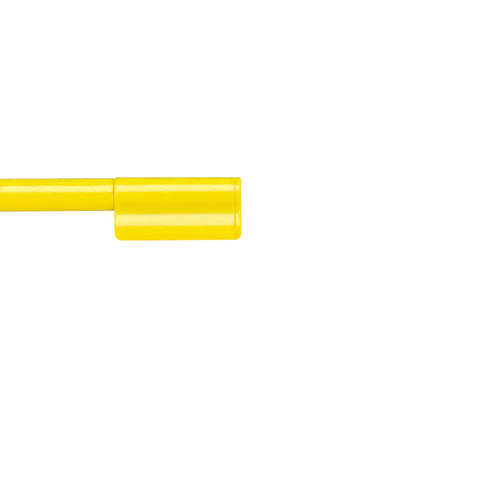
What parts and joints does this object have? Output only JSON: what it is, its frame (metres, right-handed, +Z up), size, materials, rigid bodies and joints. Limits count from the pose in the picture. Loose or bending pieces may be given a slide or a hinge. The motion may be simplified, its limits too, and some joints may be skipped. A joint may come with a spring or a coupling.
{
  "type": "felt tip marker",
  "caption": "Round felt tip marker with a push-on cap; an open channel on the cap snaps over the barrel of another such marker to join them side by side.",
  "frame": {"origin": "centre of the tail's end face, on the pen's axis", "axes": "+X along the pen's axis towards the nib, -Y towards the cap's clip, +Z up from the surface that the marker lies on"},
  "size_m": [0.1493, 0.0171, 0.0114],
  "materials": {
    "barrel_plastic": "smooth injection moulding, semi gloss",
    "cap_plastic": "smooth injection moulding, semi gloss",
    "nib_fibre": "bonded fibre, soaked with yellow ink",
    "reservoir_fibre": "fibre bundle, soaked with yellow ink",
    "film": "thin clear wrap",
    "seal_plastic": "soft natural plastic"
  },
  "bodies": {
    "pen": {"barrel": "barrel_plastic", "end_plug": "barrel_plastic", "front_section": "barrel_plastic", "nib": "nib_fibre", "reservoir_core": "reservoir_fibre", "reservoir_sleeve": "film"},
    "seal": {"cap_seal": "seal_plastic"},
    "cap": {"cap": "cap_plastic"}
  },
  "joints": [
    {"name": "cap_pull", "type": "slide", "parent": "pen", "child": "seal", "axis": [1, 0, 0], "range_m": [0, 0.045]},
    {"name": "cap_turn", "type": "hinge", "parent": "seal", "child": "cap", "pos_m": [0.115, 0, 0], "axis": [1, 0, 0], "continuous": true}
  ]
}
